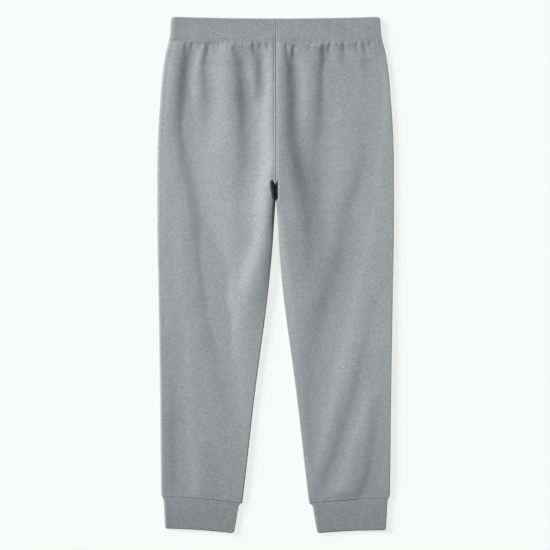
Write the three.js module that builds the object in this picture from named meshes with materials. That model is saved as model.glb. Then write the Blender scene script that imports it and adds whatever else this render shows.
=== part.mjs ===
// Fleece sweatpants with a ribbed waistband and ribbed cuffs, laid out flat on their front.
// Millimetres, +Z up. The waist points to +Y, the wearer's left leg is at -X, and the
// surface that the pants lie on is z = 0. "down" is the distance below the waist, "across" is x.
import * as THREE from "three";

// Driving sizes.
const LENGTH = 1032; // top of the waistband to the lowest point of the cuffs
const CLOTH = 2.2; // brushed fleece
const SEAM_GAP = 0.3; // between two pieces that are sewn together
const LAYER_GAP = 0.4; // between back and front where they are pressed together
const BACK_PRESSED = 2 * CLOTH + LAYER_GAP; // top of the back where it lies lowest
const CENTRE_SEAM = 0.6; // across, of the centre back seam
const FRONT_SEAM_ASIDE = 1.5; // how far the centre front seam lies from it
const SEAM_VALLEY = { deep: 0.75, wide: 5.5 }; // along the centre back seam
const SLOT_END = 1.6; // across, where the two halves part
const CROTCH_DOWN = 330; // the back folds down here, into the slot between the legs
const LEGS_PART_DOWN = 365; // the slot ends here, and the surface shows between the legs
const RIGHT_SIDE_ROLL = 0.9; // how far in from the right side the cloth bends over

const BAND = { height: 46, wall: 3.5, slit: 0.5, topDip: 3.5, seamDip: 1.8 };
const BAND_ROLLS = { left: 10, right: 1 };
const BAND_TOP = 2 * BAND.wall + BAND.slit;
const HEMS = {
  left: { outer: 961, inner: 972.5, bow: 3.4 },
  right: { outer: 962.5, inner: 972.5, bow: 1.8 },
};
const HEM_GAP = 0.37; // down; the hems slant and bow, so it is 0.3 square to them
const HEM_SKEW = 0.7; // below 1, the hem's highest point lies nearer the side
const HEM_HEIGHT = 6.3; // top of the back at the hems
const HEM_FOLDS = 0.2; // share of the folds that is left there
const HEM_EASE = 22; // over this much above the hem
const CUFF = { wall: 2.8, slit: 0.6, bow: 1.4, bottomInner: LENGTH };
const CUFF_ROLLS = { left: 5, right: 1 };
const CUFF_BOTTOMS = { left: 1023, right: 1026.5 }; // down, at the side
const LEAST_LINING_ROLL = 0.8;

const FLEECE = { color: 0x9b9ea2, roughness: 0.95 };
const RIB = { color: 0x8f9195, roughness: 0.9 };

// Outer edge: half the width at each distance down.
const SIDE_LINE = [
  { down: 0, half: 209 },
  { down: 46, half: 213.2 },
  { down: 66, half: 218.5 },
  { down: 86, half: 222.3 },
  { down: 126, half: 227.6 },
  { down: 166, half: 230.5 },
  { down: 206, half: 233.5 },
  { down: 266, half: 236.2 },
  { down: 326, half: 236.8 },
  { down: 446, half: 236.4 },
  { down: 566, half: 234.2 },
  { down: 766, half: 231 },
  { down: 926, half: 229.2 },
  { down: 980, half: 228.4 },
];

// Edges of the slot between the legs, across.
const SLOT_LINE = [
  { down: 332, left: -6.5, right: 4.3 },
  { down: 340, left: -5.8, right: 4.3 },
  { down: 348, left: -4.2, right: 4.3 },
  { down: 358, left: -2.4, right: 4.2 },
  { down: 368, left: -1.6, right: 4.2 },
];

// Inner edge of each leg, across.
const INSEAM_LINE = [
  { down: 366, left: 0.9, right: 2.4 },
  { down: 376, left: -0.3, right: 2.6 },
  { down: 391, left: -1.3, right: 3.2 },
  { down: 407, left: -2.3, right: 4.1 },
  { down: 427, left: -3.7, right: 4.9 },
  { down: 467, left: -6.5, right: 6.9 },
  { down: 506, left: -10.1, right: 10.1 },
  { down: 566, left: -16.4, right: 16.2 },
  { down: 666, left: -29.6, right: 29.7 },
  { down: 766, left: -43, right: 43.2 },
  { down: 866, left: -55, right: 55.4 },
  { down: 980, left: -68.8, right: 69.4 },
];

// How far in from each edge the cloth bends over.
const ROLL_LINE = [
  { down: 280, leftSide: 9, leftInseam: 5, rightInseam: 1.4 },
  { down: 340, leftSide: 8.5, leftInseam: 5, rightInseam: 1.4 },
  { down: 380, leftSide: 7.7, leftInseam: 6, rightInseam: 2.4 },
  { down: 420, leftSide: 6.8, leftInseam: 4, rightInseam: 1.6 },
  { down: 450, leftSide: 6, leftInseam: 2, rightInseam: 1.4 },
  { down: 560, leftSide: 4.5, leftInseam: 2, rightInseam: 1.4 },
];

// Top of the back with its folds smoothed out: at the sides, and at the centre and the inseams.
const LINE_HEIGHTS = [
  { down: 46, edge: 7.2, middle: 9.2 },
  { down: 84, edge: 6.2, middle: 10.5 },
  { down: 150, edge: 5.8, middle: 13.3 },
  { down: 210, edge: 5.8, middle: 16.5 },
  { down: 270, edge: 5.8, middle: 20 },
  { down: 300, edge: 5.8, middle: 21 },
  { down: 350, edge: 5.8, middle: 20 },
  { down: 380, edge: 5.8, middle: 19 },
  { down: 440, edge: 5.8, middle: 16.5 },
  { down: 480, edge: 5.8, middle: 13.5 },
  { down: 520, edge: 5.8, middle: 11 },
  { down: 600, edge: 6, middle: 8.2 },
  { down: 700, edge: 6.7, middle: 7 },
  { down: 960, edge: 6.5, middle: 7 },
];

// The sides of the soft folds in each half of the back. Each is a path down the cloth: where it
// lies across, the slope there, above zero where the cloth climbs towards +x, and its width.
const FLANKS = {
  left: [
    {
      down: [52, 84, 150, 210, 300, 600],
      across: [-215, -218, -225, -230, -232, -232],
      slope: [0.17, 0.28, 0.25, 0.14, 0.05, 0.03],
      wide: [11, 12, 13, 12, 12, 12],
    },
    {
      down: [52, 64, 90, 210, 270, 380, 600, 680, 820],
      across: [-177, -178, -182, -192, -186, -164, -130, -121, -98],
      slope: [-0.16, -0.27, -0.29, -0.24, -0.22, -0.2, -0.16, -0.09, -0.03],
      wide: [9, 10, 10, 12, 12, 16, 16, 15, 14],
    },
    {
      down: [54, 84, 120, 150, 210, 270],
      across: [-148, -156, -162, -163, -160, -156],
      slope: [0.1, 0.18, 0.18, 0.16, 0.06, 0.02],
      wide: [6, 7, 8, 8, 10, 10],
    },
    {
      down: [52, 64, 90, 120, 150, 230],
      across: [-134, -136, -144, -144, -141, -140],
      slope: [-0.12, -0.2, -0.23, -0.18, -0.13, -0.03],
      wide: [5, 5, 6, 7, 8, 9],
    },
    {
      down: [52, 150, 210, 300, 440, 520, 600, 760, 860],
      across: [-108, -111, -112, -124, -102, -100, -92, -66, -66],
      slope: [0.12, 0.2, 0.16, 0.07, 0.1, 0.12, 0.17, 0.06, 0.03],
      wide: [18, 17, 18, 24, 26, 24, 20, 16, 12],
    },
    {
      down: [52, 64, 84, 120, 180, 220, 270, 380, 440],
      across: [-85, -84, -77, -73, -69, -68, -66, -76, -78],
      slope: [-0.1, -0.2, -0.23, -0.26, -0.28, -0.23, -0.2, -0.06, -0.02],
      wide: [6, 7, 10, 11, 12, 13, 14, 15, 15],
    },
    {
      down: [62, 84, 100, 120, 160, 215],
      across: [-58, -55, -54, -50, -44, -38],
      slope: [0.05, 0.1, 0.14, 0.12, 0.08, 0.03],
      wide: [6, 6, 6, 6, 7, 7],
    },
    {
      down: [52, 62, 76, 100, 120, 150, 185],
      across: [-45, -44, -37, -34, -34, -34, -33],
      slope: [-0.1, -0.18, -0.24, -0.27, -0.25, -0.13, -0.03],
      wide: [5, 5, 6, 6, 7, 7, 7],
    },
    {
      down: [52, 84, 210, 300, 350, 440, 480, 560, 640],
      across: [-10, -15, -21, -17, -27, -35, -45, -70, -78],
      slope: [0.04, 0.24, 0.29, 0.31, 0.28, 0.28, 0.28, 0.13, 0.03],
      wide: [7, 8, 13, 15, 15, 14, 16, 17, 17],
    },
    {
      down: [366, 380, 404, 425, 470],
      across: [-3, -3, -4, -6, -10],
      slope: [-0.04, -0.11, -0.1, -0.03, -0.01],
      wide: [5, 5, 5, 6, 6],
    },
    {
      down: [280, 318, 372, 391, 440, 480, 547, 587, 640],
      across: [-8, -8, -6, -5, -6, -9, -18, -24, -34],
      slope: [-0.04, -0.13, -0.33, -0.34, -0.25, -0.25, -0.16, -0.07, -0.02],
      wide: [6, 6, 8, 10, 14, 16, 17, 17, 16],
    },
    {
      down: [620, 700, 760, 840, 910, 960],
      across: [-212, -212, -208, -208, -207, -206],
      slope: [-0.02, -0.05, -0.07, -0.09, -0.1, -0.07],
      wide: [10, 10, 11, 12, 12, 12],
    },
    {
      down: [400, 600, 700, 840, 880, 960],
      across: [-204, -180, -172, -173, -166, -162],
      slope: [0.02, 0.04, 0.05, 0.07, 0.09, 0.08],
      wide: [12, 12, 14, 13, 11, 11],
    },
    {
      down: [820, 880, 960],
      across: [-138, -131, -124],
      slope: [-0.02, -0.05, -0.05],
      wide: [12, 12, 12],
    },
  ],
  right: [
    {
      down: [52, 64, 84, 150, 240, 325, 380, 500, 560],
      across: [18, 29, 28, 30, 32, 49, 60, 72, 76],
      slope: [-0.06, -0.17, -0.3, -0.32, -0.3, -0.27, -0.23, -0.08, -0.03],
      wide: [8, 11, 10, 12, 15, 19, 18, 18, 16],
    },
    {
      down: [54, 84, 120, 150, 180, 250],
      across: [50, 51, 56, 55, 55, 57],
      slope: [0.09, 0.1, 0.14, 0.13, 0.1, 0.02],
      wide: [6, 8, 7, 8, 8, 8],
    },
    {
      down: [52, 60, 84, 100, 210, 310, 370, 410, 470],
      across: [99, 98, 96, 94, 85, 78, 84, 86, 88],
      slope: [-0.13, -0.22, -0.3, -0.29, -0.16, -0.08, -0.08, -0.07, -0.01],
      wide: [6, 7, 8, 10, 12, 13, 12, 12, 12],
    },
    {
      down: [56, 84, 120, 180, 240, 300, 400],
      across: [118, 114, 114, 116, 124, 125, 112],
      slope: [0.06, 0.12, 0.09, 0.06, 0.05, 0.05, 0.02],
      wide: [6, 6, 8, 9, 14, 16, 14],
    },
    {
      down: [52, 64, 84, 160],
      across: [134, 134, 135, 140],
      slope: [-0.1, -0.12, -0.08, -0.03],
      wide: [5, 5, 6, 8],
    },
    {
      down: [52, 150, 210, 325, 380, 600, 680, 760, 910],
      across: [172, 187, 183, 163, 143, 84, 70, 64, 76],
      slope: [-0.07, -0.09, -0.07, -0.08, -0.1, -0.12, -0.08, -0.07, -0.02],
      wide: [8, 10, 12, 13, 18, 22, 20, 12, 7],
    },
    {
      down: [76, 120, 150, 210, 440, 720, 760, 840, 905],
      across: [204, 211, 215, 214, 186, 126, 115, 95, 82],
      slope: [0.05, 0.11, 0.12, 0.11, 0.08, 0.1, 0.11, 0.1, 0.04],
      wide: [8, 8, 8, 8, 12, 12, 10, 9, 7],
    },
    {
      down: [540, 600, 680, 760, 800, 840, 880, 910, 950],
      across: [200, 191, 172, 150, 139, 125, 111, 98, 80],
      slope: [-0.03, -0.05, -0.08, -0.11, -0.11, -0.1, -0.1, -0.09, -0.03],
      wide: [9, 9, 9, 9, 10, 9, 9, 9, 9],
    },
    {
      down: [720, 800, 840, 880, 910, 935, 960],
      across: [186, 170, 155, 144, 135, 124, 112],
      slope: [0.03, 0.08, 0.1, 0.11, 0.12, 0.11, 0.07],
      wide: [10, 10, 10, 11, 12, 14, 18],
    },
    {
      down: [740, 800, 840, 880, 935, 960],
      across: [208, 196, 191, 188, 173, 166],
      slope: [-0.03, -0.07, -0.1, -0.13, -0.13, -0.1],
      wide: [9, 9, 10, 10, 11, 12],
    },
    {
      down: [374, 410, 480, 520, 560, 640, 700, 840, 960],
      across: [4, 7, 15, 19, 25, 34, 41, 56, 67],
      slope: [0.06, 0.14, 0.22, 0.2, 0.15, 0.08, 0.05, 0.07, 0.09],
      wide: [6, 7, 10, 10, 9, 9, 8, 7, 7],
    },
  ],
};
const FLANKS_AT_WAIST = 60; // a flank that starts above this runs up to the waist seam
const FLANKS_AT_HEM = 940; // one that ends below this runs down to the hem
const FLANK_FADE = 36; // the others fade in and out over this much
const WAIST_EASE = { above: 1, below: 12 }; // the folds begin around the waist seam

// Stations down a panel: rows of the cloth's mesh. The slot between the legs has its own.
const TORSO_ROWS = [46, 54, 66, 80, 100, 125, 150, 180, 210, 240, 270, 300, 322];
const SLOT_ROWS = [334, 346, 360];
const LEG_ROWS = [372, 390, 412, 440, 470, 505, 545, 590, 640, 690, 745, 800, 850, 890, 922, 944, 960];
const WAIST_SETTLED = 140; // rows below this no longer follow the waist seam
const HEM_SETTLING = 700; // rows above this don't follow the hem yet
const PANEL_CELLS = 20; // across the flat of a panel, between its rolled edges
const SIDE_ANGLES = [0, 30, 60]; // degrees up the rolled side edge
const LEG_INSEAM_ANGLES = [90, 60, 30, 12, 0];
const SLOT_INSEAM_ANGLES = [90, 60, 30, 0];
const TORSO_INSEAM_INSETS = [24, 16, 8, 3, 0]; // across, to the centre seam

// Rows and cells of the ribbed pieces. pinch is how much the rib is drawn in on every side.
const BAND_ROWS = [
  { down: 0, pinch: 2 },
  { down: 1.5, pinch: 0.6 },
  { down: 5, pinch: 0 },
  { down: 15, pinch: 0 },
  { down: 25, pinch: 0 },
  { down: 34, pinch: 0 },
  { down: 42, pinch: 0 },
  { down: 46, pinch: 0.1 },
];
const BAND_RISE = { from: 4, power: 1.4 }; // how the band's top rises to meet the back
const BAND_CELLS = { half: 10, end: 6, under: 14 };
const CUFF_ROWS = [
  { share: 0, outer: 226, inner: 69.2, pinch: 0 },
  { share: 0.05, outer: 224.9, inner: 71.4, pinch: 0 },
  { share: 0.1, outer: 223.9, inner: 73.6, pinch: 0 },
  { share: 0.5, outer: 222.5, inner: 77.8, pinch: 0 },
  { share: 0.94, outer: 221, inner: 82.4, pinch: 0 },
  { share: 1, outer: 220.8, inner: 83, pinch: 1.2 },
];
const CUFF_CELLS = { half: 10, end: 6 };

const { lerp, smoothstep, degToRad, clamp } = THREE.MathUtils;
const halfWidthAt = curveOf(SIDE_LINE, "half");
const slotEdgeAt = {
  left: curveOf(SLOT_LINE, "left"),
  right: curveOf(SLOT_LINE, "right"),
};
const inseamAt = {
  left: curveOf(INSEAM_LINE, "left"),
  right: curveOf(INSEAM_LINE, "right"),
};
const sideRollAt = {
  left: curveOf(ROLL_LINE, "leftSide"),
  right: () => RIGHT_SIDE_ROLL,
};
const inseamRollAt = {
  left: curveOf(ROLL_LINE, "leftInseam"),
  right: curveOf(ROLL_LINE, "rightInseam"),
};
const edgeHeightAt = curveOf(LINE_HEIGHTS, "edge");
const middleHeightAt = curveOf(LINE_HEIGHTS, "middle");
const flanks = {
  left: FLANKS.left.map(flankOf),
  right: FLANKS.right.map(flankOf),
};

// A smooth curve through values at rising stations, as a function of "down".
function curveThrough(stations, values) {
  const curve = new THREE.CubicInterpolant(stations, values, 1);
  return (down) => curve.evaluate(clamp(down, stations[0], stations.at(-1)))[0];
}

// A smooth curve through one column of a table of rows.
function curveOf(table, column) {
  const stations = table.map((row) => row.down);
  return curveThrough(
    stations,
    table.map((row) => row[column]),
  );
}

// A point of the pants in the part's frame.
function place(across, down, height) {
  return [across, LENGTH / 2 - down, height];
}

function signOf(side) {
  return side === "left" ? -1 : 1;
}

// One flank of a fold: how much it lifts or lowers the cloth at each place.
function flankOf({ down: stations, across, slope, wide }) {
  const [start, end] = [stations[0], stations.at(-1)];
  const acrossAt = curveThrough(stations, across);
  const slopeAt = curveThrough(stations, slope);
  const wideAt = curveThrough(stations, wide);
  return (x, down) => {
    const fadeIn = start > FLANKS_AT_WAIST ? smoothstep(down, start, start + FLANK_FADE) : 1;
    const fadeOut = end < FLANKS_AT_HEM ? 1 - smoothstep(down, end - FLANK_FADE, end) : 1;
    const reach = wideAt(down);
    return slopeAt(down) * fadeIn * fadeOut * reach * Math.tanh((x - acrossAt(down)) / reach);
  };
}

// Where the two halves meet above the legs.
function centreAt(down) {
  return lerp(CENTRE_SEAM, SLOT_END, smoothstep(down, CROTCH_DOWN, LEGS_PART_DOWN));
}

// Height of the back's outer face in one half, level with its side and its inner edge.
function halfHeight(side, across, down) {
  const outer = signOf(side) * halfWidthAt(down);
  const inner = down < LEGS_PART_DOWN ? centreAt(down) : inseamAt[side](down);
  const lift = (x) => flanks[side].reduce((sum, flank) => sum + flank(x, down), 0);
  const share = clamp((across - outer) / (inner - outer), 0, 1);
  const line = lerp(edgeHeightAt(down), middleHeightAt(down), share);
  const begins = BAND.height - WAIST_EASE.above;
  const folded = smoothstep(down, begins, BAND.height + WAIST_EASE.below);
  return line + (lift(across) - lerp(lift(outer), lift(inner), share)) * folded;
}

// Height of the back's outer face. Near the hems it eases to the cuffs.
function backHeight(across, down) {
  const side = across < centreAt(down) ? "left" : "right";
  const hemEase = smoothstep(down, HEMS.left.outer - HEM_EASE, HEMS.left.outer);
  const folded = halfHeight(side, across, down);
  const height = lerp(folded, lerp(HEM_HEIGHT, folded, HEM_FOLDS), hemEase);
  const aside = (across - CENTRE_SEAM) / SEAM_VALLEY.wide;
  const valley = down < CROTCH_DOWN ? SEAM_VALLEY.deep * Math.exp(-aside * aside) : 0;
  return Math.max(height - valley, BACK_PRESSED);
}

function bandDip(across, dip) {
  const fromCentre = across / SIDE_LINE[0].half;
  return dip * Math.max(1 - fromCentre * fromCentre, 0);
}

// How far down the hem runs at a share of the way from the side to the inseam.
function hemDown(side, share) {
  const { outer, inner, bow } = HEMS[side];
  return lerp(outer, inner, share) - bow * Math.sin(Math.PI * share ** HEM_SKEW);
}

// A row's place is level in the middle of the pants and follows the seams at both ends.
function rowDown(side, station, across, share) {
  const atWaist = 1 - smoothstep(station, BAND.height, WAIST_SETTLED);
  const atHem = smoothstep(station, HEM_SETTLING, LEG_ROWS.at(-1));
  const waistSeam = SEAM_GAP + bandDip(across, BAND.seamDip);
  return station + atWaist * waistSeam + atHem * (hemDown(side, share) - LEG_ROWS.at(-1));
}

// The outer and inner point of a cloth wall that bends over an edge. At 90 degrees it lies flat.
// thick is the way from its outer to its inner face there: down on the back, up on the front.
function bentWall({ edge, inward, radius, angle }, centre, face, thick) {
  const rise = Math.sin(degToRad(angle));
  const inset = 1 - Math.cos(degToRad(angle));
  return {
    outer: [edge + inward * radius * inset, centre + (face - centre) * rise],
    inner: [
      edge + inward * (CLOTH + (radius - CLOTH) * inset),
      centre + (face - centre + thick) * rise,
    ],
  };
}

// Where each column of a row lies: its edge, how far it is bent, or where it lies flat.
function rowColumns(side, layer, station) {
  const sign = signOf(side);
  const inTorso = station < CROTCH_DOWN;
  const inSlot = !inTorso && station < LEGS_PART_DOWN;
  const aside = inTorso && layer === "front" ? FRONT_SEAM_ASIDE : 0;
  const seam = centreAt(station) + aside + (sign * SEAM_GAP) / 2;
  const sideBend = {
    edge: sign * halfWidthAt(station),
    inward: -sign,
    radius: sideRollAt[side](station),
  };
  const innerBend = {
    edge: inSlot ? slotEdgeAt[side](station) : inseamAt[side](station),
    inward: sign,
    radius: inseamRollAt[side](station),
  };
  const columns = SIDE_ANGLES.map((angle) => ({ ...sideBend, angle }));
  const start = flatAcross(sideBend);
  const end = inTorso ? seam + sign * TORSO_INSEAM_INSETS[0] : flatAcross(innerBend);
  for (let cell = 0; cell < PANEL_CELLS; cell += 1) {
    columns.push({ flat: lerp(start, end, cell / PANEL_CELLS) });
  }
  if (inTorso) {
    columns.push(...TORSO_INSEAM_INSETS.map((inset) => ({ flat: seam + sign * inset })));
  } else if (inSlot) {
    columns.push(...SLOT_INSEAM_ANGLES.map((angle) => ({ ...innerBend, angle, slot: true })));
    columns.push({ flat: seam, slot: true });
  } else {
    columns.push(...LEG_INSEAM_ANGLES.map((angle) => ({ ...innerBend, angle })));
  }
  return columns.map((column) => ({ ...column, station }));
}

// Where a column lies flat, or would if its bend were complete.
function flatAcross(column) {
  return column.flat ?? column.edge + column.inward * column.radius;
}

// In the slot the back falls from the leg's top to the pressed cloth between the legs, and the
// front stays under it.
function slotPoint(column, layer) {
  const top = backHeight(flatAcross(column), column.station);
  const bent =
    column.flat === undefined
      ? bentWall(column, BACK_PRESSED, top, -CLOTH)
      : { outer: [column.flat, BACK_PRESSED], inner: [column.flat, BACK_PRESSED] };
  if (layer === "front") return { outer: [bent.outer[0], 0], inner: [bent.outer[0], CLOTH] };
  if (!column.angle) bent.inner[1] = BACK_PRESSED - CLOTH;
  return bent;
}

// The outer and inner point of one column in one row. The front lies flat on the surface.
function columnPoint(column, layer) {
  if (column.slot) return slotPoint(column, layer);
  const across = flatAcross(column);
  const back = backHeight(across, column.station);
  const [face, thick, aside] =
    layer === "back" ? [back, -CLOTH, SEAM_GAP / 2] : [0, CLOTH, -SEAM_GAP / 2];
  if (column.flat !== undefined) {
    return { outer: [across, face], inner: [across, face + thick] };
  }
  return bentWall(column, back / 2 + aside, face, thick);
}

// Half of the back or front: torso and leg in one piece, from the waist seam to the hem.
function panel(side, layer) {
  const stations = [...TORSO_ROWS, ...SLOT_ROWS, ...LEG_ROWS];
  const outer = [];
  const inner = [];
  for (const station of stations) {
    const columns = rowColumns(side, layer, station);
    const points = columns.map((column) => columnPoint(column, layer));
    const [from, to] = [points[0].outer[0], points.at(-1).outer[0]];
    const settle = ([across, height]) => {
      const share = clamp((across - from) / (to - from), 0, 1);
      return place(across, rowDown(side, station, across, share), height);
    };
    outer.push(points.map((point) => settle(point.outer)));
    inner.push(points.map((point) => settle(point.inner)));
  }
  return clothWall(outer, inner);
}

// A closed wall between two grids of points, an outer and an inner face.
function clothWall(outer, inner) {
  const rows = outer.length;
  const columns = outer[0].length;
  const index = [];
  const at = (row, column) => row * columns + column;
  const inside = rows * columns;
  const quad = (a, b, c, d) => index.push(a, b, c, a, c, d);
  for (let row = 0; row + 1 < rows; row += 1) {
    for (let column = 0; column + 1 < columns; column += 1) {
      const corners = [
        at(row, column),
        at(row, column + 1),
        at(row + 1, column + 1),
        at(row + 1, column),
      ];
      const [a, b, c, d] = corners;
      quad(a, b, c, d);
      const [e, f, g, h] = corners.map((corner) => corner + inside);
      index.push(e, g, f, e, h, g);
    }
  }
  const rim = (a, b) => quad(b, a, a + inside, b + inside);
  for (let column = 0; column + 1 < columns; column += 1) {
    rim(at(0, column), at(0, column + 1));
    rim(at(rows - 1, column + 1), at(rows - 1, column));
  }
  for (let row = 0; row + 1 < rows; row += 1) {
    rim(at(row + 1, 0), at(row, 0));
    rim(at(row, columns - 1), at(row + 1, columns - 1));
  }
  return facingOut([...outer, ...inner].flat(), index);
}

// Turns the faces round if they point into the cloth.
function facingOut(points, index) {
  const corner = (n) => new THREE.Vector3(...points[index[n]]);
  let volume = 0;
  for (let n = 0; n < index.length; n += 3) {
    volume += corner(n).dot(corner(n + 1).cross(corner(n + 2)));
  }
  if (volume < 0) index.reverse();
  const geometry = new THREE.BufferGeometry();
  geometry.setAttribute("position", new THREE.Float32BufferAttribute(points.flat(), 3));
  geometry.setIndex(index);
  return geometry;
}

// Points on a straight stretch of a flattened tube, without its last point.
function straight(from, to, height, cells) {
  return Array.from({ length: cells }, (_, n) => [lerp(from, to, n / cells), height]);
}

// Points round the end of a flattened tube, without the last point. Angles are from +x.
function roundEnd(centreAcross, centreHeight, radius, half, from, to, cells) {
  return Array.from({ length: cells }, (_, n) => {
    const turn = degToRad(lerp(from, to, n / cells));
    return [centreAcross + radius * Math.cos(turn), centreHeight + half * Math.sin(turn)];
  });
}

// Section of the waistband, from the centre back seam round to it again.
function bandSection(halfWidth, half, rolls, mid) {
  const right = halfWidth - rolls.right;
  const left = rolls.left - halfWidth;
  const top = mid + half;
  const seam = { right: CENTRE_SEAM + SEAM_GAP / 2, left: CENTRE_SEAM - SEAM_GAP / 2 };
  return [
    ...straight(seam.right, right, top, BAND_CELLS.half),
    ...roundEnd(right, mid, rolls.right, half, 90, -90, BAND_CELLS.end),
    ...straight(right, left, mid - half, BAND_CELLS.under),
    ...roundEnd(left, mid, rolls.left, half, 270, 90, BAND_CELLS.end),
    ...straight(left, seam.left, top, BAND_CELLS.half),
    [seam.left, top],
  ];
}

// The rolls of a tube's lining, inside a wall.
function liningRolls(rolls, wall) {
  return {
    left: Math.max(rolls.left - wall, LEAST_LINING_ROLL),
    right: Math.max(rolls.right - wall, LEAST_LINING_ROLL),
  };
}

// Rib doubled over elastic, with a round fold along its top.
function waistband() {
  const half = BAND.wall + BAND.slit / 2;
  const outer = [];
  const inner = [];
  for (const { down, pinch } of BAND_ROWS) {
    const width = halfWidthAt(down) - pinch;
    const dip = lerp(BAND.topDip, BAND.seamDip, down / BAND.height);
    const rise = smoothstep(down, BAND_RISE.from, BAND.height) ** BAND_RISE.power;
    const lift = (across) => (backHeight(across, BAND.height) - BAND_TOP) * rise;
    const settle = (across, height) => place(across, down + bandDip(across, dip), height);
    const faceLift = ([x, z]) => settle(x, z + lift(x) * Math.max((z - half) / half, 0));
    const liningLift = ([x, z]) => settle(x, z + (z > half ? Math.max(lift(x), 0) : 0));
    const face = bandSection(width, half - pinch, BAND_ROLLS, half);
    const reach = width - BAND.wall + pinch;
    const lining = bandSection(reach, BAND.slit / 2, liningRolls(BAND_ROLLS, BAND.wall), half);
    outer.push(face.map(faceLift));
    inner.push(lining.map(liningLift));
  }
  return clothWall(outer, inner);
}

// Section of a cuff, from its left edge over the top and round to it again.
function cuffSection(left, right, half, rolls, mid) {
  const from = left + rolls.left;
  const to = right - rolls.right;
  const halfGap = SEAM_GAP / 2;
  const points = [
    ...roundEnd(from, mid, rolls.left, half, 180, 90, CUFF_CELLS.end / 2),
    ...straight(from, to, mid + half, CUFF_CELLS.half),
    ...roundEnd(to, mid, rolls.right, half, 90, -90, CUFF_CELLS.end),
    ...straight(to, from, mid - half, CUFF_CELLS.half),
    ...roundEnd(from, mid, rolls.left, half, -90, -180, CUFF_CELLS.end / 2),
    [left, mid],
  ];
  points[0] = [left, mid + halfGap];
  points[points.length - 1] = [left, mid - halfGap];
  return points;
}

// Rib tube that gathers the hem of one leg.
function cuff(side) {
  const sign = signOf(side);
  const half = CUFF.wall + CUFF.slit / 2;
  const outer = [];
  const inner = [];
  for (const row of CUFF_ROWS) {
    const outerEdge = sign * (row.outer - row.pinch);
    const innerEdge = sign * (row.inner + row.pinch);
    const [left, right] = [outerEdge, innerEdge].sort((a, b) => a - b);
    const settle = ([across, height]) => {
      const width = clamp((across - outerEdge) / (innerEdge - outerEdge), 0, 1);
      const top = hemDown(side, width) + HEM_GAP;
      const bow = CUFF.bow * Math.sin(Math.PI * width);
      const bottom = lerp(CUFF_BOTTOMS[side], CUFF.bottomInner, width) - bow;
      return place(across, lerp(top, bottom, row.share), height);
    };
    const face = cuffSection(left, right, half - row.pinch, CUFF_ROLLS, half);
    const reach = CUFF.wall - row.pinch;
    const rolls = liningRolls(CUFF_ROLLS, CUFF.wall);
    const lining = cuffSection(left + reach, right - reach, CUFF.slit / 2, rolls, half);
    outer.push(face.map(settle));
    inner.push(lining.map(settle));
  }
  return clothWall(outer, inner);
}

function piece(name, geometry, finish) {
  const mesh = new THREE.Mesh(
    geometry,
    new THREE.MeshStandardMaterial({ ...finish, metalness: 0 }),
  );
  mesh.name = name;
  return mesh;
}

const sweatpants = new THREE.Group();
sweatpants.add(piece("waistband", waistband(), RIB));
for (const side of ["left", "right"]) {
  for (const layer of ["back", "front"]) {
    sweatpants.add(piece(`${layer}_${side}`, panel(side, layer), FLEECE));
  }
  sweatpants.add(piece(`cuff_${side}`, cuff(side), RIB));
}

export default sweatpants;
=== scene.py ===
"""Heather grey sweatpants laid flat on their front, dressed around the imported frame.

Lengths in this file are millimetres until a mesh is written, and places on the pants are given
as "across", which is the frame's X, and "down", the distance below the top of the waistband.
"""

import logging
import math
from collections.abc import Callable, Sequence
from dataclasses import dataclass, field
from enum import Enum

import bpy
import numpy as np
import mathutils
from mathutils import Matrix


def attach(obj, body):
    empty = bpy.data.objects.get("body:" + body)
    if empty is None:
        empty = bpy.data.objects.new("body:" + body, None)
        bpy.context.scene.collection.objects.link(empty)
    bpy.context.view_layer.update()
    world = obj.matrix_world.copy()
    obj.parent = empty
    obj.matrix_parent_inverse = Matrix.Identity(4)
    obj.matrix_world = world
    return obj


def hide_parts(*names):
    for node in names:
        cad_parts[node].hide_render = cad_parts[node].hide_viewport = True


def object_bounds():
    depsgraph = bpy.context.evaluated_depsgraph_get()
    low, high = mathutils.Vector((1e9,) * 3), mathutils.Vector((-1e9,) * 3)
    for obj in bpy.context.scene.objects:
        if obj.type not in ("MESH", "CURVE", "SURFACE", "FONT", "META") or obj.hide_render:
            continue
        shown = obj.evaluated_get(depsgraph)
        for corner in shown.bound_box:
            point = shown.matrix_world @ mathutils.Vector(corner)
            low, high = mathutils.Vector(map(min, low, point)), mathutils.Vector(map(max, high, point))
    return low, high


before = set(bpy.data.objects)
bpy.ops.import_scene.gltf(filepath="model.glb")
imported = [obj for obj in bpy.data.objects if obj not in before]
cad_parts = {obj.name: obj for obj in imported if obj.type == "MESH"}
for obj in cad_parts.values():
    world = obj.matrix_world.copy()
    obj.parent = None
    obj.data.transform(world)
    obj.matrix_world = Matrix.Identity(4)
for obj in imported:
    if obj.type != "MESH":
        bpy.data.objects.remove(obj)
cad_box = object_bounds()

Array = np.ndarray
Curve = Callable[[Array], Array]
Vector = tuple[float, float, float]
Colour = tuple[float, float, float, float]

MM = 0.001
LENGTH = (cad_box[1][1] - cad_box[0][1]) / MM
COARSE = 4  # an inner face has one cell for this many of the outer face's, each way
# The point attribute of painted shade: how much the colour is darkened in the slot between the legs and
# along their inner edges, where shadow falls.
SHADE = "crevice"
STITCH_LINE = 3.2  # below the waist seam

log = logging.getLogger("sweatpants")


class Choice(Enum):
    """A named option whose name is also a part of piece names."""

    @property
    def word(self) -> str:
        """The option's name in lower case."""
        return self.name.lower()


class Side(Choice):
    """The wearer's left or right half, with the sign of its X."""

    LEFT = -1
    RIGHT = 1


class Layer(Choice):
    """The upper cloth, which is the back, or the lower cloth on the surface."""

    BACK = 1
    FRONT = -1


# ---------------------------------------------------------------- curves and numbers


def ease(value: Array | float, low: float, high: float) -> Array:
    """A smooth step from 0 at low to 1 at high."""
    t = np.clip((np.asarray(value, float) - low) / (high - low), 0.0, 1.0)
    return t * t * (3.0 - 2.0 * t)


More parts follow.
